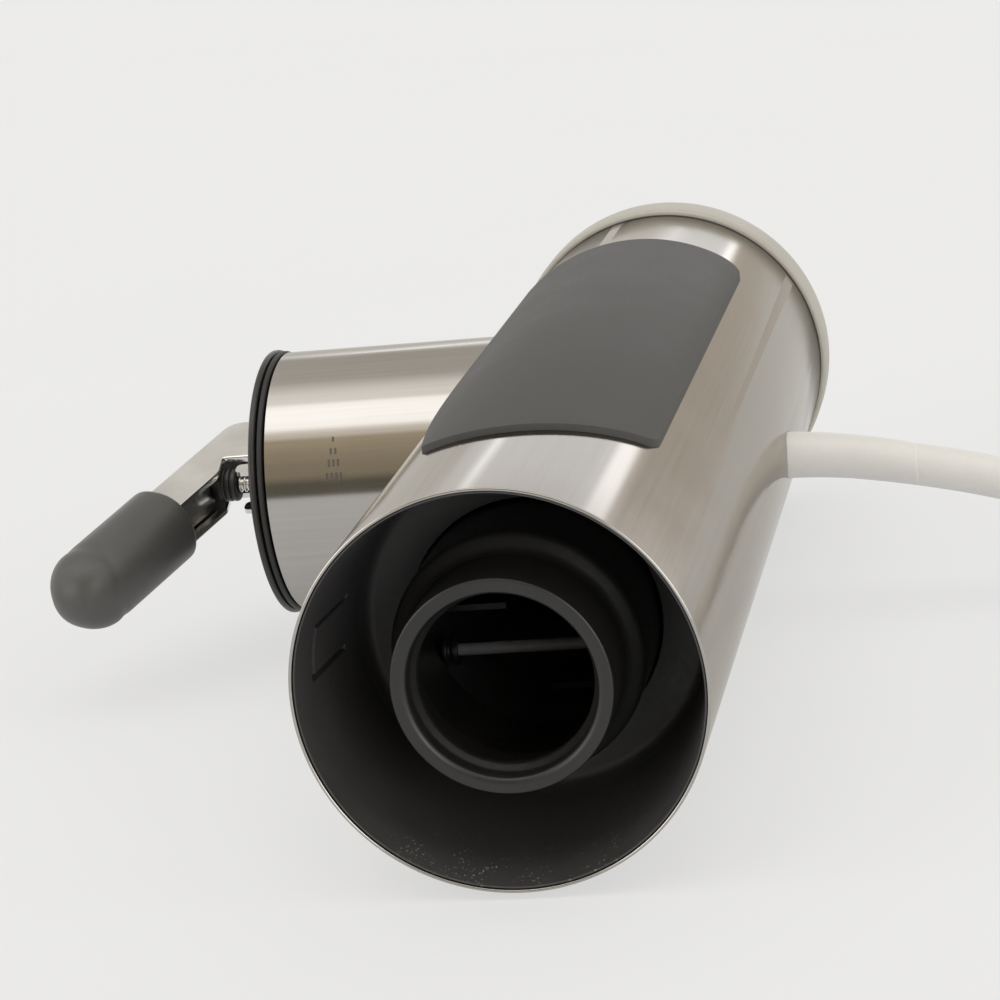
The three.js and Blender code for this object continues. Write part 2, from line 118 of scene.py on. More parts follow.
# ---------- materials ----------
class Surface:
    """A material whose colour, roughness and relief come from nodes on the piece's own coordinates."""

    def __init__(self, name, slot=None, **constants):
        self.material = bpy.data.materials.new(name)
        self.material.use_nodes = True
        self.slot = slot or name
        self.nodes = self.material.node_tree.nodes
        self.links = self.material.node_tree.links
        self.shader = self.nodes["Principled BSDF"]
        for socket, value in constants.items():
            self.shader.inputs[socket.replace("_", " ")].default_value = value
        self.place = self.nodes.new("ShaderNodeTexCoord").outputs["Object"]
        self.relief = None

    def noise(self, scale, detail=3.0, stretch=(1, 1, 1), rough=0.55):
        """A 0-to-1 noise. A small number in stretch draws it out along that axis."""
        mapping = self.nodes.new("ShaderNodeMapping")
        mapping.inputs["Scale"].default_value = stretch
        self.links.new(self.place, mapping.inputs["Vector"])
        texture = self.nodes.new("ShaderNodeTexNoise")
        texture.inputs["Scale"].default_value = scale
        texture.inputs["Detail"].default_value = detail
        texture.inputs["Roughness"].default_value = rough
        self.links.new(mapping.outputs["Vector"], texture.inputs["Vector"])
        return texture.outputs["Fac"]

    def cells(self, scale):
        """Distance to the middle of rounded grains."""
        texture = self.nodes.new("ShaderNodeTexVoronoi")
        texture.inputs["Scale"].default_value = scale
        self.links.new(self.place, texture.inputs["Vector"])
        return texture.outputs["Distance"]

    def added(self, first, second, share=0.5):
        """A blend of two factors, with share of the second."""
        mix = self.nodes.new("ShaderNodeMix")
        mix.inputs["Factor"].default_value = share
        self.links.new(first, mix.inputs["A"])
        self.links.new(second, mix.inputs["B"])
        return mix.outputs["Result"]

    def spread(self, value, start, stop, low=0.0, high=1.0):
        """Takes start to low and stop to high, and holds what lies beyond them."""
        spread = self.nodes.new("ShaderNodeMapRange")
        spread.inputs["From Min"].default_value = start
        spread.inputs["From Max"].default_value = stop
        spread.inputs["To Min"].default_value = low
        spread.inputs["To Max"].default_value = high
        self.links.new(value, spread.inputs["Value"])
        return spread.outputs["Result"]

    def colour(self, factor, low, high, start=0.3, stop=0.7):
        """The base colour, from low to high as the factor goes from start to stop."""
        ramp = self.nodes.new("ShaderNodeValToRGB")
        ramp.color_ramp.elements[0].position = start
        ramp.color_ramp.elements[1].position = stop
        ramp.color_ramp.elements[0].color = (*low, 1)
        ramp.color_ramp.elements[1].color = (*high, 1)
        self.links.new(factor, ramp.inputs["Fac"])
        self.links.new(ramp.outputs["Color"], self.shader.inputs["Base Color"])
        return self

    def roughness(self, factor, low, high, start=0.3, stop=0.7):
        """The gloss, from low to high as the factor goes from start to stop."""
        uneven = self.spread(factor, start, stop, low, high)
        self.links.new(uneven, self.shader.inputs["Roughness"])
        return self

    def bump(self, height, depth, strength=1.0):
        """Adds relief of that depth in millimetres, on top of what is there."""
        bump = self.nodes.new("ShaderNodeBump")
        bump.inputs["Strength"].default_value = strength
        bump.inputs["Distance"].default_value = depth * MM
        self.links.new(height, bump.inputs["Height"])
        if self.relief is not None:
            self.links.new(self.relief, bump.inputs["Normal"])
        self.relief = bump.outputs["Normal"]
        self.links.new(self.relief, self.shader.inputs["Normal"])
        return self


def steel(name, grain, slot="brushed_steel"):
    """Satin steel whose fine lines run along the axis that grain makes small."""
    made = Surface(name, slot, Metallic=1.0, Specular_Tint=(0.74, 0.72, 0.68, 1))
    lines = made.noise(1100, 4, grain, 0.7)
    clouds = made.noise(38, 3)
    made.colour(made.added(lines, clouds, 0.45), (0.40, 0.38, 0.355), (0.46, 0.44, 0.415))
    made.roughness(made.added(lines, clouds, 0.5), 0.10, 0.16)
    made.bump(lines, 0.004, 0.35)
    made.bump(clouds, 0.05, 0.12)
    return made


def bright_steel():
    """Polished steel with fine scuffs."""
    made = Surface("bright_steel", Metallic=1.0)
    clouds = made.noise(120, 4)
    scuffs = made.noise(900, 3, (0.2, 1, 1))
    made.colour(clouds, (0.64, 0.625, 0.60), (0.76, 0.75, 0.725))
    made.roughness(made.added(clouds, scuffs), 0.10, 0.24)
    made.bump(scuffs, 0.004, 0.3)
    return made


def moulded(name, low, high, rough, slot=None, grain=900, depth=0.02, **constants):
    """Moulded plastic or rubber: a fine grain, cloudy colour and uneven gloss."""
    made = Surface(name, slot, **constants)
    clouds = made.noise(55, 4)
    fine = made.noise(grain, 2)
    made.colour(made.added(clouds, fine, 0.3), low, high)
    made.roughness(made.added(clouds, fine, 0.4), *rough)
    made.bump(fine, depth, 0.5)
    made.bump(clouds, 0.08, 0.15)
    return made


def liner_plastic_painted_fill():
    """Black plastic with flecks of dried cheese dust low in the mouth. Its base colour is lighter than
    the collar's black plastic: painted fill light for the shaded mouth.
    """
    made = moulded("liner_plastic_painted_fill", (0.034, 0.033, 0.0335), (0.046, 0.0445, 0.045),
                   (0.42, 0.6), "black_plastic")
    nodes, links = made.nodes, made.links

    def times(first, second):
        product = nodes.new("ShaderNodeMath")
        product.operation = "MULTIPLY"
        links.new(first, product.inputs[0])
        links.new(second, product.inputs[1])
        return product.outputs["Value"]

    split = nodes.new("ShaderNodeSeparateXYZ")
    links.new(made.place, split.inputs["Vector"])
    low = made.spread(split.outputs["Z"], -20 * MM, -27 * MM)
    front = made.spread(split.outputs["Y"], (16.5 - CAP_END) * MM, (2.5 - CAP_END) * MM)
    grains = made.spread(made.cells(1500), 0.26, 0.18)
    patches = made.spread(made.noise(260, 2), 0.47, 0.62)
    dust = times(times(grains, patches), times(low, front))
    mix = nodes.new("ShaderNodeMix")
    mix.data_type = "RGBA"
    plain = made.shader.inputs["Base Color"].links[0].from_socket
    links.new(dust, mix.inputs["Factor"])
    links.new(plain, mix.inputs["A"])
    mix.inputs["B"].default_value = (0.30, 0.285, 0.25, 1)
    links.new(mix.outputs["Result"], made.shader.inputs["Base Color"])
    return made


def make_brass():
    brass = Surface("brass", Metallic=1.0)
    patina = brass.noise(160, 4)
    brass.colour(patina, (0.50, 0.36, 0.13), (0.68, 0.52, 0.24))
    brass.roughness(patina, 0.22, 0.4)
    brass.bump(brass.noise(800, 2), 0.006, 0.3)
    return brass


def make_surfaces():
    """Every material of the object, by name."""
    return {
        "barrel_steel": steel("barrel_steel", (1, 0.012, 1)),
        "side_steel": steel("side_steel", (0.012, 1, 1)),
        "plain_steel": steel("plain_steel", (1, 0.05, 1)),
        "bright_steel": bright_steel(),
        # The liner's black plastic is lighter than the collar's: painted fill light for the shaded
        # mouth.
        "liner_plastic_painted_fill": liner_plastic_painted_fill(),
        "ring_plastic": moulded("ring_plastic", (0.016, 0.015, 0.0145), (0.026, 0.0245, 0.024),
                                (0.3, 0.45), "black_plastic"),
        "collar_plastic": moulded("collar_plastic", (0.009, 0.0088, 0.0086),
                                  (0.014, 0.0136, 0.0132), (0.28, 0.42), "black_plastic",
                                  Specular_IOR_Level=0.5),
        "grey_plastic": moulded("grey_plastic", (0.16, 0.16, 0.165), (0.22, 0.22, 0.225),
                                (0.4, 0.55)),
        "pad_rubber": moulded("pad_rubber", (0.052, 0.051, 0.049), (0.075, 0.073, 0.070),
                              (0.5, 0.66), "rubber", 1500, 0.012, Specular_IOR_Level=0.15),
        "grip_rubber": moulded("grip_rubber", (0.052, 0.050, 0.048), (0.074, 0.072, 0.069),
                               (0.36, 0.48), "rubber", 1300, 0.012),
        "seal_rubber": moulded("seal_rubber", (0.010, 0.010, 0.010), (0.018, 0.017, 0.017),
                               (0.5, 0.65), "rubber"),
        "ivory_plastic": moulded("ivory_plastic", (0.62, 0.575, 0.51), (0.68, 0.635, 0.57),
                                 (0.36, 0.5), depth=0.008),
        "cap_plastic": moulded("cap_plastic", (0.36, 0.345, 0.305), (0.41, 0.395, 0.355),
                               (0.42, 0.55), "ivory_plastic", depth=0.008,
                               Specular_IOR_Level=0.3),
        "cord_sheath": moulded("cord_sheath", (0.60, 0.59, 0.575), (0.65, 0.64, 0.625),
                               (0.38, 0.5), depth=0.006),
        "ink": moulded("ink", (0.060, 0.052, 0.043), (0.100, 0.088, 0.074), (0.5, 0.7),
                       "black_plastic"),
        "brass": make_brass(),
    }


# ---------- shapes ----------
def softened(outline, fillet=0.3, steps=4):
    """The closed outline with each corner rounded. A point's third number is its own fillet."""
    rounded = []
    count = len(outline)
    for i, point in enumerate(outline):
        here = Vector(point[:2])
        before = Vector(outline[i - 1][:2]) - here
        after = Vector(outline[(i + 1) % count][:2]) - here
        size = point[2] if len(point) > 2 else fillet
        reach = min(size, before.length * 0.45, after.length * 0.45)
        if reach < 0.01:
            rounded.append(here)
            continue
        start = here + before.normalized() * reach
        end = here + after.normalized() * reach
        for s in range(steps + 1):
            t = s / steps
            rounded.append(start * (1 - t) ** 2 + here * 2 * t * (1 - t) + end * t ** 2)
    return rounded


def axis_frame(origin, direction):
    """A frame whose z is along direction, for shapes turned about that axis."""
    turn = Vector(direction).to_track_quat("Z", "Y").to_matrix().to_4x4()
    return Matrix.Translation(Vector(origin)) @ turn


BARREL_AXIS = axis_frame((0, 0, 0), (0, 1, 0))
SIDE_AXIS = axis_frame((0, SIDE_Y, 0), (-1, 0, 0))
IN_DRAWING = Matrix.Identity(4)
LEVER_FRAME = Matrix.Translation((-LID_FACE, SIDE_Y, 0)) @ Matrix((
    (-1, 0, 0),
    (0, -math.cos(LEVER_ROLL), -math.sin(LEVER_ROLL)),
    (0, -math.sin(LEVER_ROLL), math.cos(LEVER_ROLL)),
)).transposed().to_4x4()


def mesh_object(name, points, faces):
    """A smooth-shaded mesh with its normals outwards and its corners kept."""
    mesh = bpy.data.meshes.new(name)
    mesh.from_pydata([in_frame(p) for p in points], [], faces)
    worked = bmesh.new()
    worked.from_mesh(mesh)
    bmesh.ops.remove_doubles(worked, verts=worked.verts, dist=1e-7)
    bmesh.ops.recalc_face_normals(worked, faces=worked.faces)
    worked.to_mesh(mesh)
    worked.free()
    mesh.shade_smooth()
    mesh.set_sharp_from_angle(angle=math.radians(SHARP_ANGLE))
    made = bpy.data.objects.new(name, mesh)
    bpy.context.scene.collection.objects.link(made)
    return made


def turned(name, profile, axis, segments=FINE, fillet=0.3, shape=None):
    """The closed profile of (radius, distance) turned about the axis. shape may move each point."""
    corners = [(p[0], p[1], 0) if p[0] == 0 else p for p in profile]
    points, rows = [], []
    for radius, distance in softened(corners, fillet):
        if radius < 1e-6:
            rows.append([len(points)] * segments)
            points.append(axis @ Vector((0, 0, distance)))
            continue
        rows.append(list(range(len(points), len(points) + segments)))
        for i in range(segments):
            angle = 2 * math.pi * i / segments
            r, d = shape(radius, distance, angle) if shape else (radius, distance)
            points.append(axis @ Vector((r * math.cos(angle), r * math.sin(angle), d)))
    faces = []
    for j, row in enumerate(rows):
        after = rows[(j + 1) % len(rows)]
        for i in range(segments):
            k = (i + 1) % segments
            corner = [row[i], row[k], after[k], after[i]]
            face = [v for n, v in enumerate(corner) if v != corner[n - 1]]
            if len(face) > 2:
                faces.append(face)
    return mesh_object(name, points, faces)


def extruded(name, outline, low, high, axis=IN_DRAWING):
    """The outline in the axis frame's xy plane, extruded along its z."""
    count = len(outline)
    points = [axis @ Vector((p[0], p[1], z)) for z in (low, high) for p in outline]
    faces = [list(range(count)), list(range(count, 2 * count))]
    faces += [[i, (i + 1) % count, count + (i + 1) % count, count + i] for i in range(count)]
    return mesh_object(name, points, faces)


def box(name, x, y, z, axis=IN_DRAWING):
    """A box between the two ends given along each of the axis frame's axes."""
    return extruded(name, [(x[0], y[0]), (x[1], y[0]), (x[1], y[1]), (x[0], y[1])], *z, axis)


def applied(made):
    """Turns the object's modifiers into mesh."""
    graph = bpy.context.evaluated_depsgraph_get()
    mesh = bpy.data.meshes.new_from_object(made.evaluated_get(graph))
    made.modifiers.clear()
    made.data = mesh
    mesh.shade_smooth()
    mesh.set_sharp_from_angle(angle=math.radians(SHARP_ANGLE))
    return made


def combined(made, tools, operation):
    """The object after a boolean with each tool, which is then removed."""
    for tool in tools:
        modifier = made.modifiers.new("join", "BOOLEAN")
        modifier.object = tool
        modifier.operation = operation
        modifier.solver = "EXACT"
    applied(made)
    for tool in tools:
        bpy.data.objects.remove(tool)
    return made


def carved(made, *cutters):
    return combined(made, cutters, "DIFFERENCE")


def joined(made, *others):
    return combined(made, others, "UNION")


def soften_edges(made, width, segments, angle):
    """A bevel modifier on the edges sharper than the angle."""
    modifier = made.modifiers.new("bevel", "BEVEL")
    modifier.width = width * MM
    modifier.segments = segments
    modifier.limit_method = "ANGLE"
    modifier.angle_limit = math.radians(angle)


def bevelled(made, width, segments=3, angle=35):
    soften_edges(made, width, segments, angle)
    return applied(made)


def merged(name, parts):
    """Several objects as one mesh."""
    worked = bmesh.new()
    for part in parts:
        worked.from_mesh(part.data)
        bpy.data.objects.remove(part)
    mesh = bpy.data.meshes.new(name)
    worked.to_mesh(mesh)
    worked.free()
    mesh.shade_smooth()
    mesh.set_sharp_from_angle(angle=math.radians(SHARP_ANGLE))
    made = bpy.data.objects.new(name, mesh)
    bpy.context.scene.collection.objects.link(made)
    return made


def fitted(made, surface, body, *nodes):
    """Gives the piece its material and body, and hides the CAD nodes that it stands for."""
    made.data.materials.clear()
    made.data.materials.append(SURFACES[surface].material)
    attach(made, body)
    if nodes:
        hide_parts(*nodes)
    return made


# ---------- the cord and its plug ----------
# The route that the CAD cord takes, in the drawing frame.
CORD_ROUTE = [
    (30.5, 128, -1.5), (36, 128, -1.9), (45, 128, -3.2), (56, 128, -5.3), (68, 128, -8.3),
    (82, 128, -13), (96, 128, -18.4), (110, 128.3, -23.6), (124, 129.4, -27),
    (136, 130.6, -28.3), (146, 130.4, -28.3), (157, 129.8, -28.3), (168, 129.3, -28.3),
]
TAIL_ROUTE = [
    (168, 221, -20.8), (159, 221, -21.3), (151, 221, -22.4), (146.5, 221, -23.7),
    (142, 221, -24.8), (137.2, 221, -25.2), (131, 221, -25.2),
]
PLUG_AT = (136.3, 221.0, TABLE + 6.9)
SLEEVE_RADIUS = 4.25             # of the strain relief, at the barrel's wall


def smooth(value, start, stop):
    """0 up to start, 1 from stop on, and an even ease between them."""
    t = min(1, max(0, (value - start) / (stop - start)))
    return t * t * (3 - 2 * t)


def coil_points(per_turn=20):
    """Three and a half turns, two side by side and two high, each a diameter from the next."""
    points = []
    steps = round(3.5 * per_turn)
    for i in range(steps + 1):
        turn = -90 + 360 * i / per_turn
        inwards = smooth(turn, 196, 256) - smooth(turn, 825, 885)
        upwards = smooth(turn, 498, 556)
        radius = COIL_RADIUS + CORD_RADIUS * (1 - 2 * inwards)
        angle = math.radians(turn)
        points.append((
            COIL_CENTRE[0] + radius * math.cos(angle),
            COIL_CENTRE[1] + radius * math.sin(angle),
            TABLE + CORD_RADIUS * (1 + 2 * upwards),
        ))
    return points


def add_cord():
    """The whole cord as one round curve: route, coil and the end that reaches the plug."""
    route = CORD_ROUTE + coil_points() + TAIL_ROUTE
    data = bpy.data.curves.new("mains_cord", "CURVE")
    data.dimensions = "3D"
    data.bevel_depth = CORD_RADIUS * MM
    data.bevel_resolution = 6
    data.resolution_u = 8
    data.use_fill_caps = True
    line = data.splines.new("BEZIER")
    line.bezier_points.add(len(route) - 1)
    for knot, point in zip(line.bezier_points, route):
        knot.co = in_frame(point)
        knot.handle_left_type = knot.handle_right_type = "AUTO"
    cord = bpy.data.objects.new("mains_cord", data)
    bpy.context.scene.collection.objects.link(cord)
    fitted(cord, "cord_sheath", "housing", "cord", "cord_coil", "cord_tail")
    return cord


def add_gland():
    """The strain relief: a plug in the barrel's wall and a slim tapered sleeve that follows the cord."""
    start, length, rows = 27.0, 27.0, 54
    plug_end, plug_radius = BARREL_RADIUS - 2.4, 6.9
    narrowing = 0.38
    exit_x, _, exit_z = CORD_ROUTE[0]
    points, rings = [], []
    for j in range(rows + 1):
        x = start + length * j / rows
        out = max(0, x - exit_x)
        drop = exit_z - 0.0048 * out ** 2 - 0.03 * out
        taper = max(0, x - plug_end) / (start + length - plug_end)
        radius = plug_radius if x < plug_end else SLEEVE_RADIUS - narrowing * taper
        rings.append(list(range(len(points), len(points) + MEDIUM)))
        for i in range(MEDIUM):
            angle = 2 * math.pi * i / MEDIUM
            points.append((x, SIDE_Y + radius * math.cos(angle), drop + radius * math.sin(angle)))
    faces = [rings[0], rings[-1]]
    for first, second in zip(rings, rings[1:]):
        faces += [[first[i - 1], first[i], second[i], second[i - 1]] for i in range(MEDIUM)]
    boot = bevelled(mesh_object("strain_relief", points, faces), 0.15, 2)
    return fitted(boot, "cord_sheath", "housing", "cord_gland")


def add_plug():
    """A flat two-pin plug with a ribbed neck, lying beside the coil."""
    x, y, z = PLUG_AT
    axis = axis_frame(PLUG_AT, (-1, 0, 0))
    half = 17.6
    face = softened([(-half, -3.2), (-12.5, -6.8), (12.5, -6.8), (half, -3.2), (half, 3.2),
                     (12.5, 6.8), (-12.5, 6.8), (-half, 3.2)], 3, 5)
    body = extruded("plug_body_shape", face, 13.3, 35.1, axis)

    neck_length = 13.5
    groove_pitch, groove_width, groove_depth, groove_slope = 2.6, 0.9, 0.7, 0.15

    def neck_radius(distance):
        return 4.4 + 1.5 * distance / neck_length

    neck_profile = [(0, 0), (neck_radius(0), 0)]
    for k in range(4):
        start = groove_pitch * (k + 1)
        stop = start + groove_width
        neck_profile += [
            (neck_radius(start), start),
            (neck_radius(start) - groove_depth, start + groove_slope),
            (neck_radius(stop) - groove_depth, stop - groove_slope),
            (neck_radius(stop), stop),
        ]
    neck_profile += [(neck_radius(neck_length), neck_length), (6.4, 15), (6.4, 20), (0, 20)]
    neck = turned("neck", neck_profile, axis, MEDIUM, 0.12)
    body = joined(bevelled(body, 0.7, 3, 40), neck)
    body.name = body.data.name = "plug"
    fitted(body, "ivory_plastic", "housing", "plug_body")
    pins = [body]
    for side, name in ((-1, "front"), (1, "back")):
        pin = turned(f"contact_{name}", [
            (0, 0), (2, 0), (2, 17.4), (1.3, 18.9), (0, 19),
        ], axis_frame((x - 35.3, y + side * 9.5, z), (-1, 0, 0)), SMALL, 0.4)
        pins.append(fitted(pin, "brass", "housing", f"plug_pin_{name}"))
    return pins


# ---------- barrel ----------
def add_barrel():
    """The steel tube, with its window for the side tube, its cord hole and notches at the cap."""
    hole_radius = SLEEVE_RADIUS + 0.1
    tube = turned("barrel_shell", [
        (BARREL_RADIUS - SHEET, 0), (BARREL_RADIUS, 0), (BARREL_RADIUS, BARREL_LENGTH),
        (BARREL_RADIUS - SHEET, BARREL_LENGTH),
    ], BARREL_AXIS, FINE, 0.22)
    window = turned("window", [(0, 5), (SIDE_RADIUS - SHEET, 5), (SIDE_RADIUS - SHEET, 45), (0, 45)],
                    SIDE_AXIS, COARSE, 0)
    cord_hole = turned("cord_hole", [(0, 10), (hole_radius, 10), (hole_radius, 40), (0, 40)],
                       axis_frame((0, SIDE_Y, CORD_ROUTE[0][2]), (1, 0, 0)), SMALL, 0)
    notches = []
    for k in range(5):
        angle = math.radians(-13.6 + 72 * k)
        across = Matrix.Rotation(angle, 4, "Y")
        notches.append(box("notch", (-1.1, 1.1), (BARREL_LENGTH - 0.7, BARREL_LENGTH + 2),
                           (BARREL_RADIUS - 3, BARREL_RADIUS + 2), across))
    fitted(carved(tube, window, cord_hole, *notches), "barrel_steel", "housing", "barrel_tube")


def add_liner():
    """The black lining of the mouth, with a small lip over the steel's edge and a floor."""
    liner = turned("mouth_liner", [
        (LINER_OUT - 0.1, 0.3), (LINER_OUT + 0.2, 0.3), (LINER_OUT + 0.2, 12), (LINER_OUT, 12.2),
        (LINER_OUT, FLOOR_AT + 2.3),
        (19.8, FLOOR_AT + 2.3), (19.8, FLOOR_AT), (FLOOR_EDGE - 0.6, FLOOR_AT, 1.6),
        (FLOOR_EDGE + 0.1, FLOOR_AT - 3), (LINER_IN, 12, 3),
    ], BARREL_AXIS, FINE, 0.12)
    # A spring tongue in the wall: a slot round three of its sides.
    turn = Matrix.Rotation(math.radians(-80), 4, "Y")
    depth = (LINER_IN - 3, LINER_IN + 0.8)
    half, slot_width = 4.6, 1.0
    slots = [
        box("slot", (-half, slot_width - half), (9, 24), depth, turn),
        box("slot", (half - slot_width, half), (9, 24), depth, turn),
        box("slot", (-half, half), (8, 9.4), depth, turn),
    ]
    fitted(carved(liner, *slots), "liner_plastic_painted_fill", "housing", "front_liner")


def add_collar():
    """The outlet's collar, and the duct between it and the drum."""
    collar = turned("outlet_spout", [
        (14.1, 3, 1.2), (16.6, 3, 0.4), (16.6, 15.5, 1.2), (19.4, 17.2, 0.9),
        (19.4, FLOOR_AT + 2.3), (17.4, FLOOR_AT + 2.3), (17.4, 18.6, 0.6), (15.2, 16.6, 0.6),
        (15.2, 8.6, 0.4), (13.2, 8, 0.3), (13.2, 6.8, 0.3), (14.1, 5.6, 0.3),
    ], BARREL_AXIS, FINE, 0.4)
    fitted(collar, "collar_plastic", "housing", "outlet_collar")
    duct = turned("inner_duct", [
        (20.6, FLOOR_AT + 2.6), (22.4, FLOOR_AT + 2.6), (22.4, DRUM_FRONT - 6.3),
        (20.6, DRUM_FRONT - 6.3),
    ], BARREL_AXIS, COARSE)
    fitted(duct, "liner_plastic_painted_fill", "housing", "outlet_duct")


def add_outlet_fittings():
    """The rod across the outlet, in its two bushes."""
    bar_place = (0, 42, -6.7)
    bar = turned("bar", [(0, -16.8), (1, -16.8), (1, 16.8), (0, 16.8)],
                 axis_frame(bar_place, (1, 0, 0)), SMALL)
    fitted(bar, "grey_plastic", "housing", "cross_rod")
    for side, name in ((-1, "left"), (1, "right")):
        bush = turned(f"bar_bush_{name}", [
            (1.3, 14.4), (2.4, 14.4), (2.4, 15.3), (1.9, 15.5), (1.9, 16), (2.4, 16.2),
            (2.4, 16.8), (1.3, 16.8),
        ], axis_frame(bar_place, (side, 0, 0)), SMALL, 0.15)
        fitted(bush, "collar_plastic", "housing", f"rod_bush_{name}")


# ---------- drum ----------
def add_drum():
    """The grating drum: rows of round holes, each with a raised and sharpened lip."""
    rows, around, row_pitch, first_row = 5, 12, 9.5, DRUM_FRONT + 7
    shell = turned("grater_drum", [
        (DRUM_RADIUS - SHEET, DRUM_FRONT), (DRUM_RADIUS - 0.2, DRUM_FRONT),
        (DRUM_RADIUS - 0.2, DRUM_BACK), (DRUM_RADIUS - SHEET, DRUM_BACK),
    ], BARREL_AXIS, COARSE, 0.15)
    cutters = []
    lips = []
    for row in range(rows):
        for i in range(around):
            angle = (i + row / 2) * 2 * math.pi / around
            across = Vector((math.sin(angle), 0, math.cos(angle)))
            spot = axis_frame((0, first_row + row * row_pitch, 0), across)
            cutters.append(turned("hole", [(0, 15), (2.1, 15), (2.1, 22), (0, 22)], spot, 20, 0))
            lips.append(turned("lip", [
                (2.05, DRUM_RADIUS - 0.6), (2.6, DRUM_RADIUS - 0.45), (2.3, DRUM_RADIUS),
                (2.12, DRUM_RADIUS),
            ], spot, 20, 0.05))
    carved(shell, merged("holes", cutters))
    fitted(merged("grater_drum_lips", lips), "bright_steel", "drum")
    fitted(shell, "plain_steel", "drum", "grating_drum")


# ---------- side tube and lid ----------
def add_side_tube():
    """The steel tube from its saddle on the barrel to its open end."""
    reach = BARREL_RADIUS + 0.25
    rims = [
        (SIDE_RADIUS - SHEET, None), (SIDE_RADIUS, None), (SIDE_RADIUS, SIDE_REACH - 0.2),
        (SIDE_RADIUS - 0.2, SIDE_REACH), (SIDE_RADIUS - SHEET + 0.2, SIDE_REACH),
        (SIDE_RADIUS - SHEET, SIDE_REACH - 0.2),
    ]
    points = []
    for radius, end in rims:
        for i in range(FINE):
            angle = 2 * math.pi * i / FINE
            height = radius * math.sin(angle)
            out = end if end else math.sqrt(reach ** 2 - height ** 2)
            points.append((-out, SIDE_Y + radius * math.cos(angle), height))
    faces = []
    for j in range(len(rims)):
        for i in range(FINE):
            row, after = j * FINE, (j + 1) % len(rims) * FINE
            faces.append([row + i - 1 if i else row + FINE - 1, row + i, after + i,
                          after + i - 1 if i else after + FINE - 1])
    fitted(mesh_object("feed_tube", points, faces), "side_steel", "housing", "side_tube")


def add_level_marks():
    """Groups of four to one short bars, printed one above the other on the side tube."""
    middle, pitch, length = -48, 0.85, 0.4
    heights = (15.3, 21.2, 26.3, 31.6)
    marks = []
    for group, height in enumerate(heights):
        bars = len(heights) - group
        for k in range(bars):
            along = middle + pitch * (k - (bars - 1) / 2)
            marks.append(printed_bar(height, along, length, 1.5 - 0.2 * group))
    fitted(merged("level_marks", marks), "ink", "housing")


def printed_bar(height, middle, length, thick):
    """A bar of ink that lies on the side tube, at that angle in degrees above its front."""
    points = []
    steps = 6
    spread = thick / SIDE_RADIUS
    for lift in (-0.02, 0.04):
        for x in (middle - length / 2, middle + length / 2):
            for k in range(steps + 1):
                angle = math.radians(height) + spread * (k / steps - 0.5)
                radius = SIDE_RADIUS + lift
                points.append((x, SIDE_Y - radius * math.cos(angle), radius * math.sin(angle)))
    side = steps + 1
    low = [*range(side), *range(2 * side - 1, side - 1, -1)]
    high = [i + 2 * side for i in low]
    faces = [low, high]
    faces += [[low[i - 1], low[i], high[i], high[i - 1]] for i in range(len(low))]
    return mesh_object("bar", points, faces)


def add_lid():
    """The side tube's lid and the gasket under its rim."""
    gasket = turned("lid_gasket", [
        (19, 61.3), (24.0, 61.3), (24.3, 61.5), (24.3, 62.1), (24.0, 62.3), (19, 62.3),
    ], SIDE_AXIS, FINE, 0.2)
    fitted(gasket, "seal_rubber", "lid", "side_gasket")
    lid = turned("feed_lid", [
        (2.3, 62.6), (17.2, 62.6), (17.2, 56), (18.7, 56), (18.7, 62.6, 0.1), (24.2, 62.6, 0.25),
        (24.6, 62.9, 0.2), (24.6, 63.6, 0.3), (23.9, 63.9, 0.2), (21.6, 63.9, 0.3), (21.2, 63.3),
        (20.2, 63.3), (19.8, 63.9, 0.3), (2.3, 63.9),
    ], SIDE_AXIS, FINE, 0.2)
    fitted(lid, "ring_plastic", "lid", "side_lid")


def add_pusher():
    """The pusher, hollowed to the drum's round, and its ribbed stem."""
    head = turned("pusher_head", [
        (1.8, 16), (20.6, 16, 0.8), (20.6, 44.6, 0.4), (20.2, 45.2), (20.2, 46), (20.6, 46.6, 0.4),
        (20.6, 47), (17, 47, 0.6), (17, 41, 1.2), (5, 41, 1), (5, 47, 0.4), (1.8, 47),
    ], SIDE_AXIS, COARSE)
    hollow = turned("hollow", [
        (0, 60), (DRUM_RADIUS + 1.5, 60), (DRUM_RADIUS + 1.5, 200), (0, 200),
    ], axis_frame((-15.5, 0, 0), (0, 1, 0)), COARSE, 0)
    inner = box("inner", (-20, 20), (60, 200), (-30, 30))
    fitted(carved(head, hollow, inner), "ivory_plastic", "pusher", "pusher")
    tip = LID_FACE + 8.5
    stem_radius, root_radius = 1.5, 1.15
    stem_profile = [(0, 38), (stem_radius, 38), (stem_radius, LID_FACE + 0.6)]
    for k in range(8):
        start = LID_FACE + 0.8 + k
        stem_profile += [(root_radius, start), (root_radius, start + 0.3),
                         (stem_radius, start + 0.5), (stem_radius, start + 0.75)]
    stem_profile += [(root_radius, tip), (0, tip)]
    stem = turned("pusher_stem", stem_profile, SIDE_AXIS, SMALL, 0.1)
    fitted(stem, "bright_steel", "pusher", "pusher_rod")


# ---------- press lever ----------
ALONG = Vector((math.cos(LEVER_BEND), math.sin(LEVER_BEND)))
INWARD = Vector((-ALONG.y, ALONG.x))
CORNER = Vector((12.85, -15.65))
HEAD_START = 3.6                 # the head's end, clear of the lid
HEAD_EDGE = -2.4                 # the head's edge beside the pusher's stem
ALONG_STEM = LEVER_FRAME @ axis_frame((0, 0, 0), (1, 0, 0))
ALONG_PIN = LEVER_FRAME @ Matrix.Translation((*FULCRUM, 0))


def on_arm(distance, depth):
    """A point of the lever's plane, from the outer corner of its bend."""
    return CORNER + ALONG * distance + INWARD * depth


def pin_hole():
    """A cutter for the holes that the lever's pin goes through."""
    return turned("hole", [(0, -9), (1.8, -9), (1.8, 9), (0, 9)], ALONG_PIN, SMALL, 0)


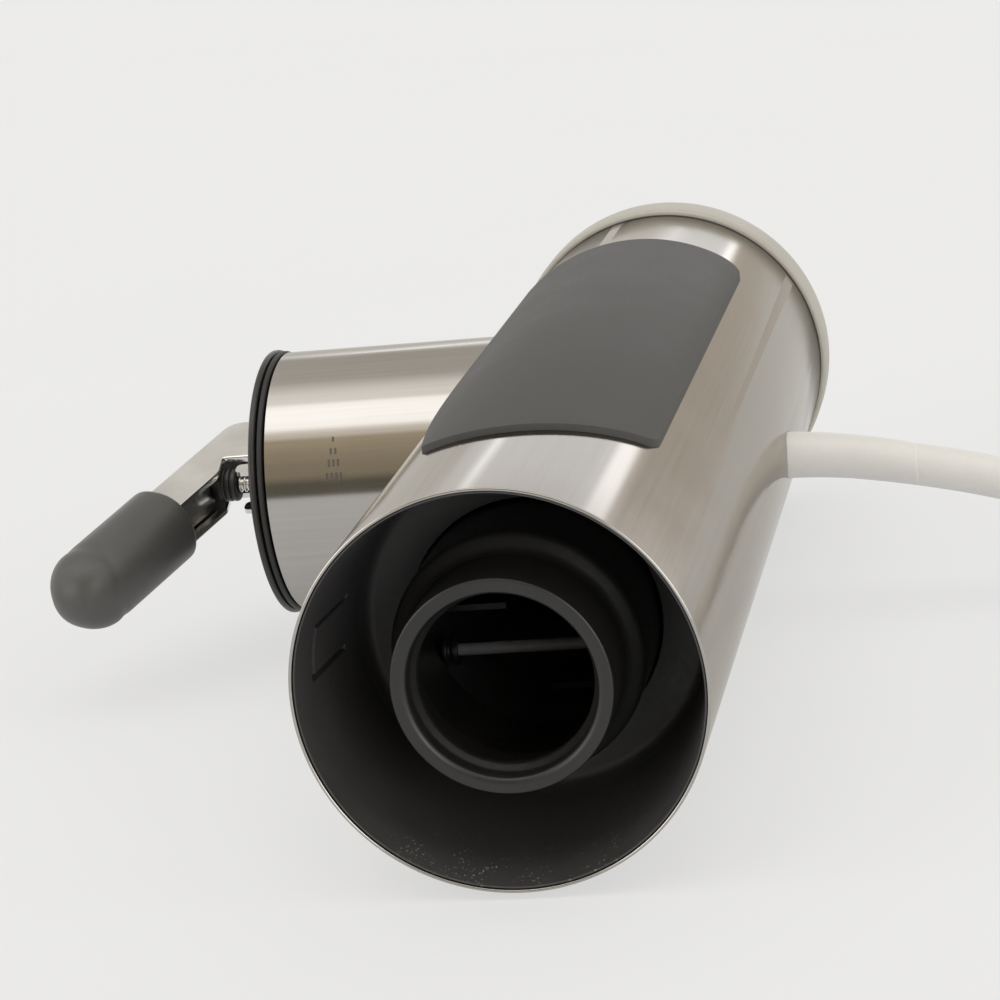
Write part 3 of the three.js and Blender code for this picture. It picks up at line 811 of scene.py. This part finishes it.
def add_channel():
    """The bent channel of the press lever, and the brace between its walls."""
    half = LEVER_HEIGHT / 2
    side = softened([
        (HEAD_START, CORNER.y, 0.6), (*CORNER, 3.2), (*on_arm(ARM_LENGTH, 0), 1),
        (*on_arm(ARM_LENGTH, ARM_WIDTH), 1), (*on_arm(16.2, ARM_WIDTH), 0.8),
        (11.6, HEAD_EDGE, 0.8), (HEAD_START, HEAD_EDGE, 0.8),
    ], 0.4, 8)
    pocket = softened([
        (-5, CORNER.y + LEVER_SHEET), (12, CORNER.y + LEVER_SHEET, 2.4),
        on_arm(ARM_LENGTH + 5, LEVER_SHEET), on_arm(ARM_LENGTH + 5, 30), (-5, 40),
    ], 0, 8)
    channel = extruded("press_lever", side, -half, half, LEVER_FRAME)
    channel = bevelled(channel, 0.45, 3, 50)
    hollow = extruded("hollow", pocket, -half + LEVER_SHEET, half - LEVER_SHEET, LEVER_FRAME)
    channel = carved(channel, hollow, pin_hole())
    fitted(channel, "bright_steel", "lever", "lever_channel")

    brace = extruded("lever_brace", softened([
        on_arm(16.6, 6.1), on_arm(31, 6.1), on_arm(31, 7), on_arm(16.6, 7)], 0.4),
        -3.1, 3.1, LEVER_FRAME)
    fitted(bevelled(brace, 0.2), "bright_steel", "lever", "lever_stiffener")


def add_yoke():
    """The bracket on the lid that holds the lever's pin and guides the lever's walls."""
    half = LEVER_HEIGHT / 2
    ear = half - LEVER_SHEET - 0.3
    plate = softened([(0.3, -11.5), (2.3, -11.5), (2.3, 4), (0.3, 4)], 0.5)
    yoke = bevelled(extruded("lever_bracket", plate, -ear, ear, LEVER_FRAME), 0.3)
    lobe = softened([(1, -10, 0), (8, -10, 2.6), (8, -4, 2.6), (1, -4, 0)], 0, 6)
    arm = softened([(1, 0.4, 0), (8.1, 0.4, 1.2), (8.1, 3.3, 1.2), (1, 3.3, 0)], 0, 6)
    ears = [box("foot", (0.4, 2.2), (0.4, 3.3), (-half + 0.1, half - 0.1), LEVER_FRAME)]
    for side in (-1, 1):
        ears.append(extruded("ear", lobe, *sorted((side * ear, side * (ear - 1))), LEVER_FRAME))
        reach = (side * (half - 0.1), side * (half - 1))
        ears.append(extruded("arm", arm, *sorted(reach), LEVER_FRAME))
    joined(yoke, *ears)
    stem_hole = turned("hole", [(0, -5), (2, -5), (2, 10), (0, 10)], ALONG_STEM, SMALL, 0)
    fitted(carved(yoke, pin_hole(), stem_hole), "bright_steel", "lid", "lever_yoke")


def add_lever_pin():
    """The riveted pin that the lever turns on."""
    half = LEVER_HEIGHT / 2
    pin = turned("lever_pivot_pin", [
        (0, -half - 0.9), (2.1, -half - 0.9, 0.4), (2.4, -half - 0.6), (2.4, -half - 0.3),
        (1.5, -half - 0.3), (1.5, half + 0.3), (2.4, half + 0.3), (2.4, half + 0.6),
        (2.1, half + 0.9, 0.4), (0, half + 0.9),
    ], ALONG_PIN, SMALL, 0.12)
    fitted(pin, "bright_steel", "lid", "lever_pin")


def add_stem_head():
    """The ribbed black head of the pusher's stem, which the lever presses on."""
    ribs = [(0, 8.8), (2.9, 8.8)]
    for k in range(3):
        start = 9.1 + k
        ribs += [(3.1, start, 0.15), (3.1, start + 0.55, 0.15), (2.7, start + 0.65, 0.1),
                 (2.7, start + 0.85, 0.1)]
    ribs += [(2.9, 12.2), (0, 12.2)]
    knob = turned("stem_head", ribs, ALONG_STEM, MEDIUM, 0.15)
    fitted(knob, "ring_plastic", "pusher", "rod_head")


def add_grip():
    """The dipped rubber sleeve: a squarish round with a crease where its domed end starts."""
    straight = GRIP_LENGTH - GRIP_RADIUS
    profile = [(0, 0), (GRIP_RADIUS, 0, 1.9)]
    profile += [(GRIP_RADIUS, straight * k / 24, 0) for k in range(2, 25)]
    steps = 16
    for i in range(1, steps):
        angle = i * math.pi / 2 / steps
        profile.append((GRIP_RADIUS * math.cos(angle), straight + GRIP_RADIUS * math.sin(angle), 0))
    profile.append((0, GRIP_LENGTH))

    def pressed(radius, distance, angle):
        """Squares the round a little, and presses in the crease."""
        power = 2.35
        square = (abs(math.cos(angle)) ** power + abs(math.sin(angle)) ** power) ** (-1 / power)
        square = 1 + (square / 1.035 - 1) * 0.9
        saddle = straight - 0.8 + 1.2 * math.cos(2 * angle)
        crease = math.exp(-((distance - saddle) / 0.8) ** 2)
        return radius * square - 0.2 * crease, distance

    axis = LEVER_FRAME @ axis_frame((*on_arm(GRIP_START, ARM_WIDTH / 2), 0), (*ALONG, 0))
    sleeve = turned("lever_sleeve", profile, axis, COARSE, 0.3, pressed)
    half = LEVER_HEIGHT / 2
    socket = extruded("socket", [
        on_arm(GRIP_START - 2, -0.1), on_arm(ARM_LENGTH + 0.4, -0.1),
        on_arm(ARM_LENGTH + 0.4, ARM_WIDTH + 0.1), on_arm(GRIP_START - 2, ARM_WIDTH + 0.1),
    ], -half - 0.1, half + 0.1, LEVER_FRAME)
    fitted(carved(sleeve, socket), "grip_rubber", "lever", "lever_grip")


# ---------- pad and cap ----------
def add_pad():
    """The rubber pad wrapped on the barrel: bowed front edge, bowed left side, rounded back."""
    left, right, back, corner = -21.0, 20.4, 171.5, 5.5

    def bowed(start, control, stop, steps=24):
        """A curve from start to stop that bows towards the control point."""
        curve = []
        for k in range(steps + 1):
            t = k / steps
            curve.append(tuple(
                a * (1 - t) ** 2 + b * 2 * t * (1 - t) + c * t * t
                for a, b, c in zip(start, control, stop)))
        return curve

    plan = bowed((-15, 36), (-1, 23), (right - 2.2, 41))
    plan += bowed((right - 2.1, 41.1), (right, 42.6), (right, 45.5), 6)
    plan += bowed((right, back - corner), (right, back), (right - corner, back), 10)
    plan += bowed((left + corner, back), (left, back), (left, back - corner), 10)
    plan += bowed((left, 100), (left, 70), (-15.1, 36.3))
    pad = turned("hand_pad", [
        (BARREL_RADIUS + 0.02, 20), (BARREL_RADIUS + 1.1, 20), (BARREL_RADIUS + 1.1, 180),
        (BARREL_RADIUS + 0.02, 180),
    ], BARREL_AXIS, FINE, 0)
    keep = extruded("keep", plan, 15, 40)
    pad = bevelled(combined(pad, [keep], "INTERSECT"), 0.4, 3, 50)
    fitted(pad, "pad_rubber", "housing", "grip_pad")


def add_cap():
    """The ivory end cap with its skirt inside the barrel, and the seal between the two."""
    seal = turned("cap_gasket", [
        (28, BARREL_LENGTH + 0.15), (BARREL_RADIUS + 0.05, BARREL_LENGTH + 0.15),
        (BARREL_RADIUS + 0.05, 201.1), (28, 201.1),
    ], BARREL_AXIS, FINE, 0.1)
    fitted(seal, "seal_rubber", "cap", "cap_seal")
    cap = turned("rear_cap", [
        (0, 209.5), (27.2, 209.5, 1), (27.2, 194), (LINER_OUT - 2.4, 194), (LINER_OUT - 2.4, 193),
        (27.6, 193), (27.6, 201.2), (CAP_RADIUS - 0.5, 201.2, 0.3), (CAP_RADIUS, 202, 0.5),
        (CAP_RADIUS, 209.6, 1.2), (CAP_RADIUS - 1.0, 211.6, 1.1), (CAP_RADIUS - 3.2, CAP_END, 1.2),
        (24.6, CAP_END, 0.2), (24.2, CAP_END - 0.5, 0.2), (23.4, CAP_END - 0.5, 0.2),
        (23.0, CAP_END, 0.2), (0, CAP_END),
    ], BARREL_AXIS, FINE, 0.4)
    fitted(cap, "cap_plastic", "cap", "end_cap")


# ---------- CAD nodes that stay ----------
KEPT_NODES = {
    "guide_plate_left": "collar_plastic",
    "guide_plate_right": "collar_plastic",
    "drum_hub": "ring_plastic",
    "drive_shaft": "bright_steel",
    "drum_nut": "brass",
    "drum_chamber": "liner_plastic_painted_fill",
    "front_bearing_plate": "grey_plastic",
    "shaft_bush": "brass",
    "output_gear": "brass",
    "idler_pin": "bright_steel",
    "idler_gear": "grey_plastic",
    "rear_gear_plate": "grey_plastic",
    "motor_can": "plain_steel",
    "motor_screw_1": "bright_steel",
    "motor_screw_2": "bright_steel",
    "motor_shaft": "bright_steel",
    "motor_pinion": "brass",
    "motor_mount_ring": "seal_rubber",
    "hopper_liner": "liner_plastic_painted_fill",
    "rod_nut": "bright_steel",
    "terminal_block": "ivory_plastic",
    "power_switch": "grey_plastic",
}


def dress_kept_nodes():
    """Gives each CAD node that stays its material and small bevels on its edges."""
    for name, surface in KEPT_NODES.items():
        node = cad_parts[name]
        node.data.materials.clear()
        node.data.materials.append(SURFACES[surface].material)
        soften_edges(node, 0.15, 2, 40)


# ---------- studio ----------
def add_floor():
    """A plain pale floor, which glows a little so that it stays pale where the room is dim."""
    data = bpy.data.meshes.new("floor")
    worked = bmesh.new()
    bmesh.ops.create_circle(worked, cap_ends=True, segments=96, radius=9)
    worked.to_mesh(data)
    worked.free()
    floor = bpy.data.objects.new("floor", data)
    bpy.context.scene.collection.objects.link(floor)
    floor.location = (0, 0, TABLE * MM)
    paint = Surface("floor_paint", Roughness=0.9)
    paint.shader.inputs["Specular IOR Level"].default_value = 0
    paint.colour(paint.noise(6, 2), (0.224, 0.226, 0.230), (0.230, 0.232, 0.236))
    paint.shader.inputs["Emission Color"].default_value = (1, 1, 1, 1)
    paint.shader.inputs["Emission Strength"].default_value = FLOOR_GLOW
    data.materials.append(paint.material)


# Radiance of the room against the angle about the side tube's axis: 0 is in front, 90 overhead,
# 180 behind. A dark strip, a dim warm wall, a wide soft box, the ceiling, the back wall.
FRONT_ROOM = (
    (0, (0.16, 0.15, 0.115)), (12.5, (0.16, 0.15, 0.115)), (16.5, (0.40, 0.33, 0.235)),
    (30, (0.46, 0.39, 0.285)), (48, (0.65, 0.55, 0.395)), (57, (0.60, 0.52, 0.40)),
    (62, (1.72, 1.71, 1.68)), (83, (1.72, 1.71, 1.68)), (87, (1.50, 1.49, 1.42)),
    (95, (1.42, 1.41, 1.34)), (103, (1.14, 1.12, 1.05)), (112, (0.74, 0.71, 0.65)),
    (150, (0.72, 0.70, 0.66)), (165, (1.42, 1.40, 1.38)),
)
# The same for the wall behind, against the angle about the barrel's axis: -90 is level on the
# left, 0 overhead, 90 level on the right. Two bright window strips stand between its parts.
BACK_ROOM = (
    (-90, (0.93, 0.92, 0.90)), (-50, (0.94, 0.93, 0.91)), (-45, (1.22, 1.23, 1.26)),
    (-36, (1.30, 1.32, 1.38)), (-34.5, (2.35, 2.4, 2.5)), (-31.5, (2.35, 2.4, 2.5)),
    (-30, (1.33, 1.345, 1.41)), (22, (1.33, 1.345, 1.41)), (28, (1.50, 1.52, 1.58)),
    (30, (2.4, 2.42, 2.5)), (38, (2.4, 2.42, 2.5)), (41, (1.0, 0.94, 0.88)),
    (45, (0.73, 0.665, 0.60)), (70, (0.74, 0.68, 0.62)),
    (90, (0.80, 0.76, 0.71)),
)
# Soft boxes on either side of the camera: direction, inner and outer angle, radiance.
FILLS = (
    ((0.62, -0.76, 0.16), 14, 26, (4.0, 3.95, 3.85)),
    ((-0.72, -0.66, 0.15), 12, 24, (3.0, 2.95, 2.9)),
)
FLOOR_GLOW = 0.567
BRIGHTEST = 4.0                  # colour ramps hold values up to 1, so they are scaled by this


def add_sky():
    """A soft room whose walls differ by direction."""
    world = bpy.data.worlds.new("studio")
    bpy.context.scene.world = world
    world.use_nodes = True
    nodes, links = world.node_tree.nodes, world.node_tree.links
    direction = nodes.new("ShaderNodeTexCoord").outputs["Generated"]

    def calculated(operation, first, second):
        """A math node on numbers or sockets."""
        made = nodes.new("ShaderNodeMath")
        made.operation = operation
        for socket, value in zip(made.inputs, (first, second)):
            if isinstance(value, (int, float)):
                socket.default_value = value
            else:
                links.new(value, socket)
        return made.outputs["Value"]

    def facing(axis, low, high):
        """0 to 1 as the cosine of the angle to the axis goes from low to high."""
        dot = nodes.new("ShaderNodeVectorMath")
        dot.operation = "DOT_PRODUCT"
        dot.inputs[1].default_value = Vector(axis).normalized()
        links.new(direction, dot.inputs[0])
        spread = nodes.new("ShaderNodeMapRange")
        spread.interpolation_type = "SMOOTHSTEP"
        spread.inputs["From Min"].default_value = low
        spread.inputs["From Max"].default_value = high
        links.new(dot.outputs["Value"], spread.inputs["Value"])
        return spread.outputs["Result"]

    def over(base, factor, colour):
        """The base, with the colour laid over it by the factor."""
        mix = nodes.new("ShaderNodeMix")
        mix.data_type = "RGBA"
        links.new(factor, mix.inputs["Factor"])
        links.new(base, mix.inputs["A"])
        if isinstance(colour, tuple):
            mix.inputs["B"].default_value = (*colour, 1)
        else:
            links.new(colour, mix.inputs["B"])
        return mix.outputs["Result"]

    def walls(angle, start, room):
        """The room's colour at that angle in radians. Its stops span 180 degrees from start."""
        share = calculated("DIVIDE", calculated("SUBTRACT", angle, math.radians(start)), math.pi)
        ramp = nodes.new("ShaderNodeValToRGB")
        stops = ramp.color_ramp.elements
        while len(stops) < len(room):
            stops.new(0.5)
        for stop, (degrees, colour) in zip(stops, room):
            stop.position = (degrees - start) / 180
            stop.color = (*(c / BRIGHTEST for c in colour), 1)
        links.new(share, ramp.inputs["Fac"])
        scaled = nodes.new("ShaderNodeVectorMath")
        scaled.operation = "SCALE"
        scaled.inputs["Scale"].default_value = BRIGHTEST
        links.new(ramp.outputs["Color"], scaled.inputs[0])
        return scaled.outputs["Vector"]

    split = nodes.new("ShaderNodeSeparateXYZ")
    links.new(direction, split.inputs["Vector"])
    forwards = calculated("MULTIPLY", split.outputs["Y"], -1)
    about_tube = calculated("ARCTAN2", split.outputs["Z"], forwards)
    about_barrel = calculated("ARCTAN2", split.outputs["X"], split.outputs["Z"])
    sky = over(walls(about_tube, 0, FRONT_ROOM), facing((0, 1, 0), 0.87, 0.91),
               walls(about_barrel, -90, BACK_ROOM))
    for axis, inner, outer, colour in FILLS:
        sky = over(sky, facing(axis, math.cos(math.radians(outer)),
                               math.cos(math.radians(inner))), colour)
    background = nodes["Background"]
    links.new(sky, background.inputs["Color"])
    background.inputs["Strength"].default_value = 1.0


def add_lights():
    """The room, and one weak, wide ceiling light for the contact shadows."""
    add_sky()
    data = bpy.data.lights.new("ceiling", "SUN")
    data.energy = 0.12
    data.angle = math.radians(32)
    ceiling = bpy.data.objects.new("ceiling", data)
    bpy.context.scene.collection.objects.link(ceiling)
    ceiling.rotation_mode = "QUATERNION"
    ceiling.rotation_quaternion = Vector((-0.25, -0.36, 0.90)).to_track_quat("Z", "Y")
    bpy.context.scene.view_settings.view_transform = "Standard"


SURFACES = make_surfaces()
add_camera()
mains_cord = add_cord()
add_gland()
plug_pieces = add_plug()
add_barrel()
add_liner()
add_collar()
add_outlet_fittings()
add_drum()
add_side_tube()
add_level_marks()
add_lid()
add_pusher()
add_channel()
add_yoke()
add_lever_pin()
add_stem_head()
add_grip()
add_pad()
add_cap()
dress_kept_nodes()
add_floor()
add_lights()
